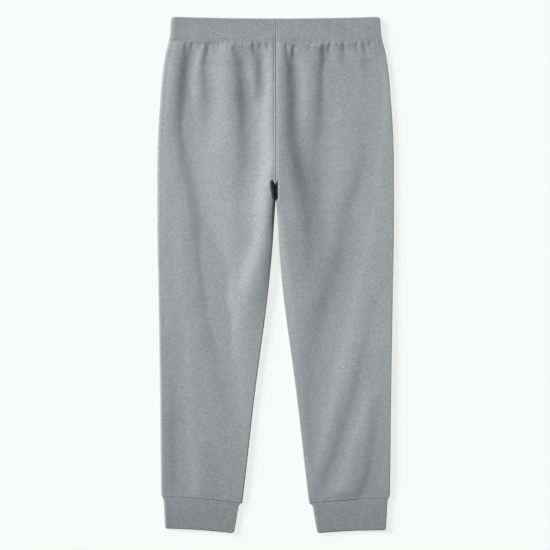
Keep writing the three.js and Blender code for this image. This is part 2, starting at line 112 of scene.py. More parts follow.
def mix(a: Array | float, b: Array | float, share: Array | float) -> Array:
    """The value that lies share of the way from a to b."""
    return a + (b - a) * share


def bump(aside: Array, wide: float) -> Array:
    """A bell of height 1 around zero."""
    return np.exp(-((aside / wide) ** 2))


def relief(aside: Array, rows: Sequence[Vector]) -> Array:
    """The height of small ridges and grooves that run along a line.

    Args:
        aside: How far each place lies from the line.
        rows: The height, the place aside and the width of each ridge or groove.

    Returns:
        Their sum at each place.
    """
    return sum(high * bump(aside - place, wide) for high, place, wide in rows)


def rounded(near: Array) -> Array:
    """How far a round corner of radius 1 is cut back: 1 at its end, 0 where near is 0."""
    near = np.clip(near, 0, 1)
    return 1 - np.sqrt(1 - near * near)


def smooth_curve(stations: Sequence[float], values: Sequence[float]) -> Curve:
    """Joins a table's values with a smooth curve.

    Args:
        stations: Where each value holds, rising.
        values: The values there.

    Returns:
        A function of place, which keeps its end values past the ends.
    """
    at = np.asarray(stations, float)
    value = np.asarray(values, float)
    slope = np.gradient(value, at)

    def curve(where: Array) -> Array:
        """The curve's value at each place."""
        where = np.clip(where, at[0], at[-1])
        cell = np.clip(np.searchsorted(at, where, side="right") - 1, 0, len(at) - 2)
        step = at[cell + 1] - at[cell]
        t = (where - at[cell]) / step
        bend = t * t * (3.0 - 2.0 * t)
        rise_in = t * (1.0 - t) ** 2 * step
        rise_out = t * t * (t - 1.0) * step
        return (
            mix(value[cell], value[cell + 1], bend)
            + slope[cell] * rise_in
            + slope[cell + 1] * rise_out
        )

    return curve


def lattice(column: Array, row: Array, seed: float) -> Array:
    """An even spread of fixed numbers from 0 to 1, one for each lattice point."""
    wave = np.sin(column * 127.1 + row * 311.7 + seed * 74.7) * 43758.5453
    return wave - np.floor(wave)


def soft_noise(x: Array, y: Array, seed: float) -> Array:
    """Smooth noise from -1 to 1 with cells of size 1."""
    column, row = np.floor(x), np.floor(y)
    u, v = ease(x - column, 0, 1), ease(y - row, 0, 1)
    low = mix(lattice(column, row, seed), lattice(column + 1, row, seed), u)
    high = mix(lattice(column, row + 1, seed), lattice(column + 1, row + 1, seed), u)
    return 2.0 * mix(low, high, v) - 1.0


def at_least(value: Array, floor: float, softness: float) -> Array:
    """The value, held above floor with a soft bend in place of a corner."""
    return floor + softness * np.logaddexp(0.0, (value - floor) / softness)


def runs(stops: Sequence[tuple[float, int]], end: float) -> Array:
    """Stations in runs of even steps.

    Args:
        stops: Each run's start and its number of steps.
        end: Where the last run ends.

    Returns:
        Every station, with the end.
    """
    starts = [start for start, _ in stops] + [end]
    parts = [
        np.linspace(starts[n], starts[n + 1], steps, endpoint=False)
        for n, (_, steps) in enumerate(stops)
    ]
    return np.concatenate([*parts, [end]])


# ---------------------------------------------------------------- how the pants lie


@dataclass(frozen=True)
class Flank:
    """One side of a long soft fold, where the cloth climbs or drops from left to right.

    Each row of its path holds down, across, the slope there and how wide the flank is. The
    slope is above zero where the cloth climbs.
    """

    path: tuple[tuple[float, float, float, float], ...]

    WAIST = 60.0  # a flank that starts below this, or ends above the hem, fades there
    HEM = 940.0
    FADE = 36.0

    def lift(self, across: Array, down: Array) -> Array:
        """How much the flank lifts or lowers the cloth at each place."""
        downs, middles, slopes, widths = zip(*self.path)
        middle = smooth_curve(downs, middles)(down)
        slope = smooth_curve(downs, slopes)(down)
        wide = smooth_curve(downs, widths)(down)
        if downs[0] > self.WAIST:
            slope = slope * ease(down, downs[0], downs[0] + self.FADE)
        if downs[-1] < self.HEM:
            slope = slope * (1 - ease(down, downs[-1] - self.FADE, downs[-1]))
        return slope * wide * np.tanh((across - middle) / wide)


@dataclass(frozen=True)
class Gather:
    """A short pucker that the waist seam draws into the cloth."""

    across: float
    reach: float
    wide: float
    deep: float
    drift: float

    TOP = 48.5
    TAIL = 1.7  # its faint end runs on to this many times its reach
    DEEPEST = 0.26  # as a share of the whole

    def height(self, across: Array, down: Array) -> Array:
        """How far the pucker lowers the cloth at each place."""
        t = np.clip((down - self.TOP) / (self.TAIL * self.reach), 0.0, 1.0)
        taper = ease(t, 0, self.DEEPEST) * (1 - t) ** 0.9
        aside = (across - self.across - self.drift * t) / (self.wide * (1 + t))
        return -self.deep * taper * np.exp(-aside * aside)


# Columns: down, across, slope, wide.
LEFT_FLANKS = (
    Flank((  # the climb in from the left side
        (52, -215, 0.17, 11), (84, -218, 0.28, 12), (150, -225, 0.25, 13), (210, -230, 0.14, 12),
        (300, -232, 0.05, 12), (600, -232, 0.03, 12),
    )),
    Flank((  # the long fall from the waist to the calf
        (52, -177, -0.16, 9), (64, -178, -0.27, 10), (90, -182, -0.29, 10), (150, -188, -0.27, 12),
        (210, -192, -0.24, 12), (270, -186, -0.22, 12), (320, -176, -0.20, 14), (380, -164, -0.20, 16),
        (440, -156, -0.18, 16), (520, -142, -0.19, 16), (600, -130, -0.16, 16), (680, -121, -0.09, 15),
        (820, -98, -0.03, 14),
    )),
    Flank((  # the climb beside it
        (54, -148, 0.10, 6), (84, -156, 0.18, 7), (120, -162, 0.18, 8), (150, -163, 0.16, 8),
        (210, -160, 0.06, 10), (270, -156, 0.02, 10),
    )),
    Flank((  # the short fall beside that
        (52, -136, -0.14, 5), (64, -139, -0.25, 5), (90, -144, -0.23, 6), (120, -144, -0.18, 7),
        (150, -141, -0.13, 8), (230, -140, -0.03, 9),
    )),
    Flank((  # the broad climb down the middle of the leg
        (52, -108, 0.12, 18), (84, -112, 0.15, 19), (120, -114, 0.18, 18), (150, -111, 0.20, 17),
        (210, -112, 0.16, 18), (300, -124, 0.07, 24), (440, -102, 0.10, 26), (520, -100, 0.12, 24),
        (600, -92, 0.17, 20), (680, -80, 0.09, 18), (760, -66, 0.06, 16), (860, -66, 0.03, 12),
    )),
    Flank((  # the fall from the waist past the crotch
        (52, -83, -0.12, 6), (64, -81, -0.24, 7), (84, -77, -0.23, 10), (120, -73, -0.26, 11),
        (180, -69, -0.28, 12), (220, -68, -0.23, 13), (270, -66, -0.20, 14), (320, -70, -0.13, 15),
        (380, -76, -0.06, 15), (440, -78, -0.02, 15),
    )),
    Flank((  # a small climb beside it
        (62, -58, 0.05, 6), (84, -55, 0.10, 6), (100, -54, 0.14, 6), (120, -50, 0.12, 6),
        (160, -44, 0.08, 7), (215, -38, 0.03, 7),
    )),
    Flank((  # the short fall nearest the seam
        (52, -45, -0.12, 5), (62, -42, -0.25, 5), (76, -37, -0.27, 6), (100, -34, -0.27, 6),
        (120, -34, -0.25, 7), (150, -34, -0.13, 7), (185, -33, -0.03, 7),
    )),
    Flank((  # the climb to the seam and down the inner thigh
        (52, -10, 0.04, 7), (64, -14, 0.12, 7), (84, -15, 0.24, 8), (150, -15, 0.26, 9),
        (180, -19, 0.26, 12), (210, -21, 0.29, 13), (300, -17, 0.31, 15), (350, -27, 0.28, 15),
        (410, -32, 0.28, 14), (440, -35, 0.28, 14), (480, -45, 0.28, 16), (520, -58, 0.23, 17),
        (560, -70, 0.13, 17), (640, -78, 0.03, 17),
    )),
    Flank((  # the turn of the inseam
        (366, -3, -0.04, 5), (380, -3, -0.11, 5), (404, -4, -0.10, 5), (425, -6, -0.03, 6),
        (470, -10, -0.01, 6),
    )),
    Flank((  # the fall into the crotch and down the inner thigh
        (280, -8, -0.04, 6), (318, -8, -0.13, 6), (345, -7, -0.25, 7), (372, -6, -0.33, 8),
        (391, -5, -0.34, 10), (410, -5, -0.31, 12), (440, -6, -0.25, 14), (480, -9, -0.25, 16),
        (520, -14, -0.20, 16), (547, -18, -0.16, 17), (587, -24, -0.07, 17), (640, -34, -0.02, 16),
    )),
    Flank((  # the fall nearest the side of the lower leg
        (620, -212, -0.02, 10), (700, -212, -0.05, 10), (760, -208, -0.07, 11), (840, -208, -0.09, 12),
        (910, -207, -0.10, 12), (960, -206, -0.07, 12),
    )),
    Flank((  # the climb beside it
        (400, -204, 0.02, 12), (600, -180, 0.04, 12), (700, -172, 0.05, 14), (840, -173, 0.07, 13),
        (880, -166, 0.09, 11), (960, -162, 0.08, 11),
    )),
    Flank((  # the short fall above the ankle
        (820, -138, -0.02, 12), (880, -131, -0.05, 12), (960, -124, -0.05, 12),
    )),
)

RIGHT_FLANKS = (
    Flank((  # the fall from the seam into the inner fold
        (52, 18, -0.06, 8), (64, 29, -0.17, 11), (84, 28, -0.30, 10), (150, 30, -0.32, 12),
        (210, 31, -0.30, 13), (240, 32, -0.30, 15), (270, 37, -0.29, 17), (325, 49, -0.27, 19),
        (380, 60, -0.23, 18), (440, 66, -0.17, 18), (500, 72, -0.08, 18), (560, 76, -0.03, 16),
    )),
    Flank((  # the climb out of it
        (54, 50, 0.09, 6), (84, 51, 0.10, 8), (120, 56, 0.14, 7), (150, 55, 0.13, 8),
        (180, 55, 0.10, 8), (250, 57, 0.02, 8),
    )),
    Flank((  # the fall in the middle of the seat
        (52, 96, -0.10, 6), (60, 94, -0.20, 7), (84, 94, -0.30, 8), (100, 93, -0.29, 10),
        (150, 90, -0.24, 11), (210, 85, -0.16, 12), (310, 78, -0.08, 13), (370, 84, -0.08, 12),
        (410, 86, -0.07, 12), (470, 88, -0.01, 12),
    )),
    Flank((  # the climb out of it
        (56, 118, 0.06, 6), (84, 114, 0.12, 6), (120, 114, 0.09, 8), (180, 116, 0.06, 9),
        (240, 124, 0.05, 14), (300, 125, 0.05, 16), (400, 112, 0.02, 14),
    )),
    Flank((  # a short fall below the waist
        (52, 134, -0.10, 5), (64, 134, -0.12, 5), (84, 135, -0.08, 6), (160, 140, -0.03, 8),
    )),
    Flank((  # the long fall that crosses the thigh to the calf
        (52, 172, -0.07, 8), (84, 177, -0.11, 9), (150, 187, -0.09, 10), (210, 183, -0.07, 12),
        (270, 174, -0.07, 12), (325, 163, -0.08, 13), (380, 143, -0.10, 18), (440, 131, -0.10, 20),
        (520, 109, -0.11, 20), (560, 95, -0.12, 22), (600, 84, -0.12, 22), (640, 78, -0.10, 22),
        (680, 70, -0.08, 20), (760, 64, -0.07, 12), (840, 68, -0.06, 8), (910, 76, -0.02, 7),
    )),
    Flank((  # the long climb on its outer side
        (76, 204, 0.05, 8), (120, 211, 0.11, 8), (150, 215, 0.12, 8), (210, 214, 0.11, 8),
        (300, 204, 0.10, 9), (380, 194, 0.09, 11), (440, 186, 0.08, 12), (520, 168, 0.08, 12),
        (600, 151, 0.09, 12), (680, 135, 0.10, 12), (720, 126, 0.10, 12), (760, 115, 0.11, 10),
        (840, 95, 0.10, 9), (905, 82, 0.04, 7),
    )),
    Flank((  # the fall across the calf
        (540, 200, -0.03, 9), (600, 191, -0.05, 9), (680, 172, -0.08, 9), (760, 150, -0.11, 9),
        (800, 139, -0.11, 10), (840, 125, -0.10, 9), (880, 111, -0.10, 9), (910, 98, -0.09, 9),
        (950, 80, -0.03, 9),
    )),
    Flank((  # the climb beside it
        (720, 186, 0.03, 10), (800, 170, 0.08, 10), (840, 155, 0.10, 10), (880, 144, 0.11, 11),
        (910, 135, 0.12, 12), (935, 124, 0.11, 14), (960, 112, 0.07, 18),
    )),
    Flank((  # the fall nearest the side, above the ankle
        (740, 208, -0.03, 9), (800, 196, -0.07, 9), (840, 191, -0.10, 10), (880, 188, -0.13, 10),
        (935, 173, -0.13, 11), (960, 166, -0.10, 12),
    )),
    Flank((  # the climb in from the inseam
        (374, 4, 0.06, 6), (410, 7, 0.14, 7), (480, 15, 0.22, 10), (520, 19, 0.20, 10),
        (560, 25, 0.15, 9), (640, 34, 0.08, 9), (700, 41, 0.05, 8), (840, 56, 0.07, 7),
        (960, 67, 0.09, 7),
    )),
)

# Columns: across, reach, wide, deep, drift.
GATHERS = (
    Gather(-179, 18, 3, 1.1, -1), Gather(-166, 14, 2.6, 1.1, -1), Gather(-147, 14, 2.6, 0.6, -1),
    Gather(-133, 22, 3, 1.0, -4), Gather(-114, 14, 3, 0.6, 1), Gather(-83, 24, 3.5, 0.95, 4),
    Gather(-63, 12, 2.6, 0.6, 1), Gather(-45, 26, 3.2, 1.15, 5), Gather(-29, 16, 2.8, 1.1, 1),
    Gather(-14.5, 11, 2.4, 1.1, 1), Gather(21, 30, 2.8, 2.0, 6), Gather(39, 30, 3, 1.6, -6),
    Gather(70, 15, 3, 0.9, -3), Gather(95.5, 26, 3, 0.5, 0), Gather(109, 20, 2.6, 1.3, -2),
    Gather(137, 22, 2.8, 0.75, 1), Gather(162, 20, 3, 1.1, 5), Gather(177.5, 22, 3, 0.95, 6),
    Gather(189, 14, 2.6, 0.6, 3),
)


@dataclass(frozen=True)
class Hem:
    """The line of one ankle seam, from the side to the inseam."""

    outer: float
    inner: float
    bow: float

    def down(self, share: Array) -> Array:
        """How far down the hem runs at a share of the way from the side to the inseam."""
        rise = self.bow * np.sin(np.pi * np.clip(share, 0, 1) ** 0.7)
        return mix(self.outer, self.inner, share) - rise


@dataclass(frozen=True)
class Outline:
    """The edges of the pants as they lie."""

    centre_seam: float = 0.6
    slot_end: float = 1.6
    front_seam_aside: float = 1.5
    crotch: float = 330.0
    legs_part: float = 365.0
    waist_seam: float = 46.0
    waist_dip: float = 1.8
    hem: float = 960.0  # where a panel's last row lies before it is fitted to its hem line
    hems: dict[Side, Hem] = field(
        default_factory=lambda: {
            Side.LEFT: Hem(961.0, 972.5, 3.4),
            Side.RIGHT: Hem(962.5, 972.5, 1.8),
        }
    )
    half_width: Curve = field(
        default=smooth_curve(
            (0, 46, 66, 86, 126, 166, 206, 266, 326, 446, 566, 766, 926, 980),
            (209, 213.2, 218.5, 222.3, 227.6, 230.5, 233.5)
            + (236.2, 236.8, 236.4, 234.2, 231, 229.2, 228.4),
        )
    )
    inseams: dict[Side, Curve] = field(
        default_factory=lambda: {
            Side.LEFT: smooth_curve(
                (366, 376, 391, 407, 427, 467, 506, 566, 666, 766, 866, 980),
                (0.9, -0.3, -1.3, -2.3, -3.7, -6.5, -10.1, -16.4, -29.6, -43, -55, -68.8),
            ),
            Side.RIGHT: smooth_curve(
                (366, 379, 392, 427, 467, 506, 566, 666, 766, 866, 980),
                (1.8, 2.2, 3.2, 4.9, 6.9, 10.1, 16.2, 29.7, 43.2, 55.4, 69.4),
            ),
        }
    )
    slot_edges: dict[Side, Curve] = field(
        default_factory=lambda: {
            Side.LEFT: smooth_curve((332, 340, 348, 358, 368), (-6.5, -5.8, -4.2, -2.4, -1.6)),
            Side.RIGHT: smooth_curve((332, 350, 368), (4.3, 4.3, 4.2)),
        }
    )

    def centre(self, down: Array) -> Array:
        """Where the two halves meet above the legs."""
        return mix(self.centre_seam, self.slot_end, ease(down, self.crotch, self.legs_part))

    def inner(self, side: Side, down: Array) -> Array:
        """The centre seam above the crotch, and the leg's inner edge below it."""
        parted = ease(down, self.legs_part - 30, self.legs_part + 6)
        return mix(self.centre(down), self.inseams[side](down), parted)

    def dip(self, across: Array, deep: float) -> Array:
        """How far a line that sags by deep at the centre lies below its ends."""
        share = across / self.half_width(np.zeros(1))[0]
        return deep * np.maximum(1 - share * share, 0)

    def seam_line(self, across: Array) -> Array:
        """How far down the waist seam lies."""
        return self.waist_seam + self.dip(across, self.waist_dip)


@dataclass(frozen=True)
class Drape:
    """The heights of the two layers of fleece above the surface."""

    outline: Outline
    cloth: float = 2.2
    layer_gap: float = 0.4
    hem_height: float = 6.3
    hem_folds: float = 0.2  # share of the folds that is left at the hem
    hem_ease: float = 22.0
    pucker_height: float = 0.45
    pucker_width: float = 3.8
    pucker_length: float = 40.0
    edge_height: Curve = field(
        default=smooth_curve((46, 84, 150, 560, 700, 900, 960), (7.2, 6.2, 5.8, 5.8, 6.7, 6.8, 6.5))
    )
    middle_height: Curve = field(
        default=smooth_curve(
            (46, 84, 120, 150, 210, 270, 300, 350, 380, 440, 480, 520, 600, 700, 960),
            (9.2, 10.5, 12, 13.3, 16.5, 20, 21, 20, 19, 16.5, 13.5, 11, 8.2, 7, 7),
        )
    )

    WAVES = ((0.35, 46, 90), (0.14, 17, 38))  # columns: height, length across, length along
    # Columns: height, place aside, width.
    SEAM = ((-0.75, 0.0, 5.5), (0.3, -1.8, 1.1), (-0.22, 0.0, 0.7))  # valley, strip, groove
    WAIST = ((-0.06, 0.0, 0.8), (-0.1, STITCH_LINE, 0.8))  # lip, stitches

    @property
    def pressed(self) -> float:
        """The top of the back where the two layers are pressed together."""
        return 2 * self.cloth + self.layer_gap

    def half(self, side: Side, across: Array, down: Array) -> Array:
        """The folded height of one half, level with its side and its inner edge."""
        flanks = LEFT_FLANKS if side is Side.LEFT else RIGHT_FLANKS
        down = np.broadcast_to(down, np.broadcast(across, down).shape)
        outer = side.value * self.outline.half_width(down)
        inner = self.outline.inner(side, down)
        lifts = [
            sum(flank.lift(place, down) for flank in flanks) for place in (across, outer, inner)
        ]
        share = np.clip((across - outer) / (inner - outer), 0, 1)
        line = mix(self.edge_height(down), self.middle_height(down), share)
        folded = ease(down, self.outline.waist_seam - 1, self.outline.waist_seam + 12)
        return line + (lifts[0] - mix(lifts[1], lifts[2], share)) * folded

    def waves(self, across: Array, down: Array) -> Array:
        """Slow unevenness that keeps the cloth from looking pressed."""
        return sum(
            high * soft_noise(across / wide, down / long, seed)
            for seed, (high, wide, long) in enumerate(self.WAVES, 1)
        )

    def seams(self, across: Array, down: Array) -> Array:
        """The centre back seam in its shallow valley, its allowance stitched down on the left."""
        in_torso = 1 - ease(down, self.outline.crotch - 4, self.outline.crotch + 4)
        return relief(across - self.outline.centre_seam, self.SEAM) * in_torso

    def waist_edge(self, across: Array, down: Array) -> Array:
        """The lip and the stitched line under the waist seam."""
        return relief(down - self.outline.seam_line(across), self.WAIST)

    def puckers(self, across: Array, down: Array) -> Array:
        """The finest puckers, all along the waist seam and gone a little below it."""
        below = down - self.outline.seam_line(across)
        drawn_in = ease(below, 0.5, 2.5) * (1 - ease(below, 4, 18))
        noise = soft_noise(across / self.pucker_width, down / self.pucker_length, 3)
        return self.pucker_height * drawn_in * noise

    def back(self, across: Array, down: Array) -> Array:
        """The height of the back's outer face."""
        left = self.half(Side.LEFT, across, down)
        right = self.half(Side.RIGHT, across, down)
        height = np.where(across < self.outline.centre(down), left, right)
        height = height + self.waves(across, down)
        hem = self.outline.hems[Side.LEFT].outer
        at_hem = self.hem_height + self.hem_folds * (height - self.hem_height)
        height = mix(height, at_hem, ease(down, hem - self.hem_ease, hem))
        height = height + sum(gather.height(across, down) for gather in GATHERS)
        height = height + self.puckers(across, down)
        height = height + self.seams(across, down) + self.waist_edge(across, down)
        return at_least(height, self.pressed, 0.25)


# ---------------------------------------------------------------- meshes


def face_grid(rows: int, columns: int, start: int, turned: bool) -> list[tuple[int, ...]]:
    """The four-sided faces of a grid of points.

    Args:
        rows: Points down the grid.
        columns: Points along each row.
        start: The first point's number.
        turned: Whether the faces look the other way.

    Returns:
        A tuple of point numbers for each face.
    """
    row, column = np.meshgrid(np.arange(rows - 1), np.arange(columns - 1), indexing="ij")
    first = (start + row * columns + column).ravel()
    corners = [first, first + 1, first + columns + 1, first + columns]
    return list(zip(*(corners[::-1] if turned else corners)))


def rim_faces(outer_edge: Array, inner_edge: Array) -> list[tuple[int, ...]]:
    """Faces that join an outer edge to the coarser inner edge beside it."""
    faces = []
    for n in range(len(inner_edge) - 1):
        fine = outer_edge[n * COARSE : (n + 1) * COARSE + 1]
        faces.append((*fine[::-1], inner_edge[n], inner_edge[n + 1]))
    return faces


def shell_mesh(
    name: str, outer: Array, inner: Array, faces_out: bool, shade: Array | None = None
) -> bpy.types.Object:
    """A closed wall of cloth between an outer face and a coarser inner one.

    Args:
        name: The new object's name.
        outer: Points of the outer face in millimetres, rows by columns by 3.
        inner: Points of the inner face under every outer point. Only some are used.
        faces_out: Whether rows and columns turn so that the outer face looks out.
        shade: How much painted shade darkens each outer point's colour, standing in for shadow, from 0
            to 1.

    Returns:
        The object, with its mesh in metres in the frame's place.
    """
    coarse = inner[::COARSE, ::COARSE]
    rows, columns = outer.shape[:2]
    rows_in, columns_in = coarse.shape[:2]
    start = rows * columns
    points = np.concatenate([outer.reshape(-1, 3), coarse.reshape(-1, 3)]) * MM
    fine = np.arange(start).reshape(rows, columns)
    rough = start + np.arange(rows_in * columns_in).reshape(rows_in, columns_in)
    faces = face_grid(rows, columns, 0, False) + face_grid(rows_in, columns_in, start, True)
    faces += rim_faces(fine[0], rough[0])
    faces += rim_faces(fine[-1][::-1], rough[-1][::-1])
    faces += rim_faces(fine[:, 0][::-1], rough[:, 0][::-1])
    faces += rim_faces(fine[:, -1], rough[:, -1])
    if not faces_out:
        faces = [face[::-1] for face in faces]
    made = mesh_object(name, points, faces)
    depth = np.zeros(len(points))
    if shade is not None:
        depth[:start] = np.broadcast_to(shade, (rows, columns)).ravel()
    made.data.attributes.new(SHADE, "FLOAT", "POINT").data.foreach_set("value", depth)
    return made


def mesh_object(name: str, points: Array, faces: list[tuple[int, ...]]) -> bpy.types.Object:
    """Links a smooth-shaded mesh object made of points, in metres, and faces."""
    mesh = bpy.data.meshes.new(name)
    mesh.from_pydata(points.tolist(), [], [tuple(int(n) for n in face) for face in faces])
    mesh.update()
    mesh.shade_smooth()
    made = bpy.data.objects.new(name, mesh)
    bpy.context.scene.collection.objects.link(made)
    return made


def placed(across: Array, down: Array, height: Array) -> Array:
    """Points of the frame, in millimetres, from places on the pants."""
    return np.stack(np.broadcast_arrays(across, LENGTH / 2 - down, height), axis=-1)


# ---------------------------------------------------------------- finishes


def add_sockets(group: bpy.types.NodeTree, in_out: str, **kinds: str) -> None:
    """Gives a node group named inputs or outputs, each of a kind such as Float."""
    for name, kind in kinds.items():
        group.interface.new_socket(name=name, in_out=in_out, socket_type=f"NodeSocket{kind}")


def set_inputs(node: bpy.types.Node, values: dict[str, object]) -> None:
    """Sets a node's own inputs by name."""
    for name, value in values.items():
        node.inputs[name].default_value = value


class Graph:
    """Short ways to add nodes to a tree and link them."""

    def __init__(self, tree: bpy.types.NodeTree) -> None:
        """Keeps the tree that the nodes go into."""
        self.tree = tree

    def node(self, kind: str, **settings: object) -> bpy.types.Node:
        """Adds a node and sets its properties."""
        made = self.tree.nodes.new(kind)
        for name, value in settings.items():
            setattr(made, name, value)
        return made

    def feed(self, source: object, target: bpy.types.NodeSocket) -> None:
        """Links a socket to another, or sets the other's value."""
        if isinstance(source, bpy.types.NodeSocket):
            self.tree.links.new(source, target)
        else:
            target.default_value = source

    def math(self, operation: str, *values: object) -> bpy.types.NodeSocket:
        """The result of a Math node on sockets or numbers."""
        made = self.node("ShaderNodeMath", operation=operation)
        for n, value in enumerate(values):
            self.feed(value, made.inputs[n])
        return made.outputs[0]

    def scaled(self, vector: object, factors: object) -> bpy.types.NodeSocket:
        """A vector multiplied by factors, axis by axis."""
        made = self.node("ShaderNodeVectorMath", operation="MULTIPLY")
        self.feed(vector, made.inputs[0])
        self.feed(factors, made.inputs[1])
        return made.outputs[0]

    def noise(
        self, vector: object, stretch: Vector, scale: float, detail: float, roughness: float
    ) -> bpy.types.NodeSocket:
        """The value of a stretched noise texture, near 0.5 on average."""
        made = self.node("ShaderNodeTexNoise")
        self.feed(self.scaled(vector, stretch), made.inputs["Vector"])
        set_inputs(made, {"Scale": scale, "Detail": detail, "Roughness": roughness})
        return made.outputs["Fac"]

    def swing(self, value: object, reach: object) -> bpy.types.NodeSocket:
        """A value near 0.5 made to swing about zero, times reach."""
        return self.math("MULTIPLY", self.math("SUBTRACT", value, 0.5), reach)

    def spread(self, value: object, low: float, high: float) -> bpy.types.NodeSocket:
        """A value mapped to run from 0 at low to 1 at high, and held there."""
        made = self.node("ShaderNodeMapRange", clamp=True)
        for n, given in enumerate((value, low, high, 0.0, 1.0)):
            self.feed(given, made.inputs[n])
        return made.outputs[0]

    def blend(
        self, share: object, first: object, second: object, way: str = "MIX"
    ) -> bpy.types.NodeSocket:
        """A colour that lies share of the way from the first to the second, or to their product."""
        made = self.node("ShaderNodeMix", data_type="RGBA", blend_type=way)
        self.feed(share, made.inputs["Factor"])
        self.feed(first, made.inputs[6])
        self.feed(second, made.inputs[7])
        return made.outputs[2]


CLOUD = 0.04  # how far the marl's slow patches swing, as a share of its two greys
COOL, WARM = (0.98, 1.0, 1.008, 1.0), (1.02, 1.0, 0.992, 1.0)
PAINTED_FALLOFF_CENTRE, PAINTED_FALLOFF_REACH = 96.0, 530.0  # along the pants, in millimetres, of the painted falloff: painted shade that darkens the colour toward both ends
# SLOT_SHADE is painted shadow: the near-black colour of the slot between the legs and of the legs'
# inner edges, where shadow falls.
BLACK, SLOT_SHADE = (0.0, 0.0, 0.0, 1.0), (0.17, 0.17, 0.175, 1.0)


def marl_group() -> bpy.types.NodeTree:
    """The mottle of yarn spun from light and dark fibres, with faint ribs if asked for, and painted
    shade: darker toward both ends of the pants where light falls off, and near black where shadow falls
    between the legs.
    """
    group = bpy.data.node_groups.new("marl", "ShaderNodeTree")
    add_sockets(group, "INPUT", Vector="Vector", Light="Color", Dark="Color", Fleck="Float")
    add_sockets(group, "INPUT", Strength="Float", Ribs="Float", Fade="Float", Crevice="Float")
    add_sockets(group, "OUTPUT", Color="Color", Nap="Float")
    graph = Graph(group)
    given = graph.node("NodeGroupInput").outputs
    result = graph.node("NodeGroupOutput").inputs
    in_mm = graph.scaled(given["Vector"], (1000.0, 1000.0, 1000.0))
    pitch = graph.math("DIVIDE", 1.0, given["Fleck"])
    cells = graph.node("ShaderNodeTexVoronoi", feature="F1")
    graph.feed(graph.scaled(in_mm, (0.75, 1.0, 1.0)), cells.inputs["Vector"])
    graph.feed(pitch, cells.inputs["Scale"])
    cell = graph.node("ShaderNodeSeparateColor")
    graph.feed(cells.outputs["Color"], cell.inputs[0])
    fleck = graph.swing(cell.outputs[0], 0.5)
    cloud = graph.noise(in_mm, (0.6, 1.0, 1.0), scale=0.10, detail=3.0, roughness=0.55)
    wale = graph.noise(in_mm, (0.55, 0.035, 0.2), scale=1.0, detail=1.0, roughness=0.5)
    mottle = graph.math("ADD", fleck, graph.swing(cloud, CLOUD))
    tone = graph.math("MULTIPLY", mottle, given["Strength"])
    share = graph.math("ADD", graph.math("ADD", tone, graph.swing(wale, given["Ribs"])), 0.5)
    yarn = graph.blend(graph.spread(share, 0.0, 1.0), given["Dark"], given["Light"])
    tint = graph.noise(in_mm, (0.5, 1.0, 1.0), scale=0.09, detail=1.0, roughness=0.5)
    cast = graph.blend(graph.spread(tint, 0.3, 0.7), COOL, WARM)
    tinted = graph.blend(1.0, yarn, cast, "MULTIPLY")
    place = graph.node("ShaderNodeSeparateXYZ")
    graph.feed(in_mm, place.inputs[0])
    # Painted shade: the colour darkens toward black with the square of the distance from the middle
    # along the pants, standing in for light that falls off toward both ends.
    off = graph.math("DIVIDE", graph.math("SUBTRACT", place.outputs[1], PAINTED_FALLOFF_CENTRE), PAINTED_FALLOFF_REACH)
    painted_falloff_share = graph.math("MULTIPLY", graph.math("MULTIPLY", off, off), given["Fade"])
    toned = graph.blend(painted_falloff_share, tinted, BLACK)
    # Painted shadow: points marked for it take the near-black slot colour.
    graph.feed(graph.blend(given["Crevice"], toned, SLOT_SHADE), result["Color"])
    nap = graph.noise(in_mm, (0.8, 1.0, 1.0), scale=1.1, detail=3.0, roughness=0.6)
    graph.feed(nap, result["Nap"])
    return group


def grey(level: float, warm: float = 0.0) -> Colour:
    """An opaque grey, cooler where warm is below zero."""
    return (level * (1 + warm), level, level * (1 - warm), 1.0)


@dataclass(frozen=True)
class Marl:
    """A matt cloth of heather grey yarn."""

    name: str
    light: Colour
    dark: Colour
    fleck: float  # its size in millimetres
    strength: float
    roughness: float
    sheen: float
    nap_depth: float
    ribs: float = 0.0
    # Painted shade: how much darker the colour gets toward both ends of the pants, where light falls
    # off.
    fade: float = 0.19

    def material(self, group: bpy.types.NodeTree) -> bpy.types.Material:
        """Builds the material around the marl group."""
        made = bpy.data.materials.new(self.name)
        made.use_nodes = True
        graph = Graph(made.node_tree)
        shader = made.node_tree.nodes["Principled BSDF"]
        marl = graph.node("ShaderNodeGroup", node_tree=group)
        where = graph.node("ShaderNodeTexCoord").outputs["Object"]
        graph.feed(where, marl.inputs["Vector"])
        set_inputs(marl, {"Light": self.light, "Dark": self.dark, "Fleck": self.fleck})
        set_inputs(marl, {"Strength": self.strength, "Ribs": self.ribs, "Fade": self.fade})
        # Painted shade: the attribute that marks where shadow falls between the legs.
        crevice = graph.node("ShaderNodeAttribute", attribute_name=SHADE)
        graph.feed(crevice.outputs["Fac"], marl.inputs["Crevice"])
        nap = graph.node("ShaderNodeBump")
        set_inputs(nap, {"Strength": 1.0, "Distance": self.nap_depth * MM})
        graph.feed(marl.outputs["Nap"], nap.inputs["Height"])
        graph.feed(nap.outputs["Normal"], shader.inputs["Normal"])
        graph.feed(marl.outputs["Color"], shader.inputs["Base Color"])
        set_inputs(shader, {"Roughness": self.roughness, "Specular IOR Level": 0.2})
        set_inputs(shader, {"Sheen Weight": self.sheen, "Sheen Roughness": 0.5})
        return made


FLEECE = Marl(
    "fleece", light=grey(0.459, -0.008), dark=grey(0.233, -0.003), fleck=1.35, strength=1.0,
    roughness=0.95, sheen=0.1, nap_depth=0.10,
)
RIB = Marl(
    "rib", light=grey(0.476, -0.008), dark=grey(0.242, -0.003), fleck=1.4, strength=1.0,
    roughness=0.92, sheen=0.08, nap_depth=0.08, ribs=0.36, fade=0.27,
)
THREAD = Marl(
    "thread", light=grey(0.40), dark=grey(0.32), fleck=0.6, strength=0.4,
    roughness=0.7, sheen=0.0, nap_depth=0.02,
)


